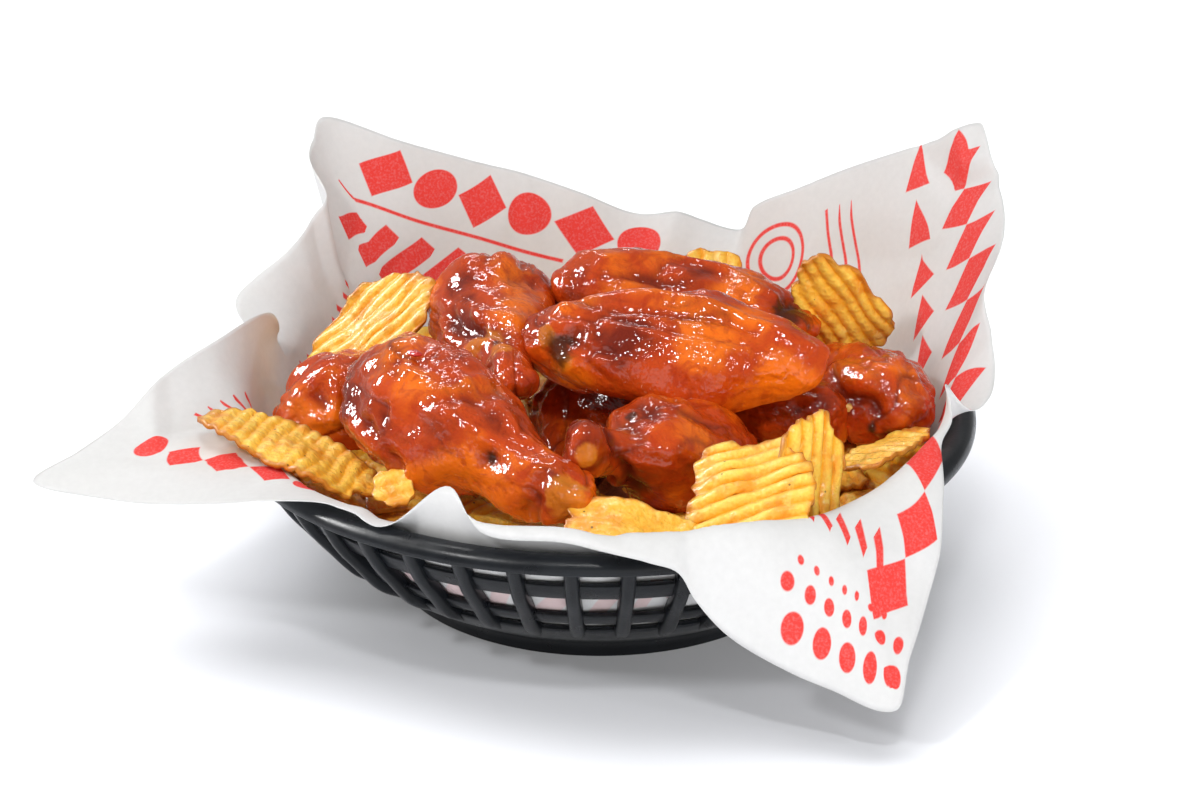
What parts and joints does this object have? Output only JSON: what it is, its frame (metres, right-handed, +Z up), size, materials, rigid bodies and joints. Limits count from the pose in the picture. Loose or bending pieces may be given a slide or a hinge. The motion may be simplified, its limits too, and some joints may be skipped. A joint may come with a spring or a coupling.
{
  "type": "chicken wings serving",
  "caption": "Glazed chicken wings heaped on ridged potato chips in a round paper-lined plastic diner basket with slotted sides.",
  "frame": {"origin": "centre of the basket's flat foot, on the surface it stands on", "axes": "+Z up; -Y towards the front, where the paper's printed corner hangs over the rim; +X to the right"},
  "size_m": [0.2891, 0.2559, 0.1253],
  "materials": {
    "basket": "cool near-black moulded plastic, satin, with softly rounded edges",
    "paper": "thin white greaseproof paper with coral red printed shapes, pale pink on its other side",
    "wing": "wrinkled fried skin under a very glossy orange to red-brown sauce, charred at bone ends",
    "chip": "golden ridged fried potato, dry to slightly oily, browner at its edges"
  },
  "bodies": {
    "root": {"basket": "basket", "liner": "paper", "chip_bed": "chip", "wing_front_top": "wing", "wing_back_top": "wing", "wing_front_left": "wing", "wing_back_left": "wing", "wing_centre": "wing", "wing_right_back": "wing", "wing_right_front": "wing", "wing_left": "wing", "wing_low": "wing", "chip_left_back": "chip", "chip_left_front": "chip", "chip_left_bit": "chip", "chip_front": "chip", "chip_front_right": "chip", "chip_right_fold": "chip", "chip_right": "chip", "chip_right_back": "chip", "chip_back": "chip"}
  },
  "joints": []
}
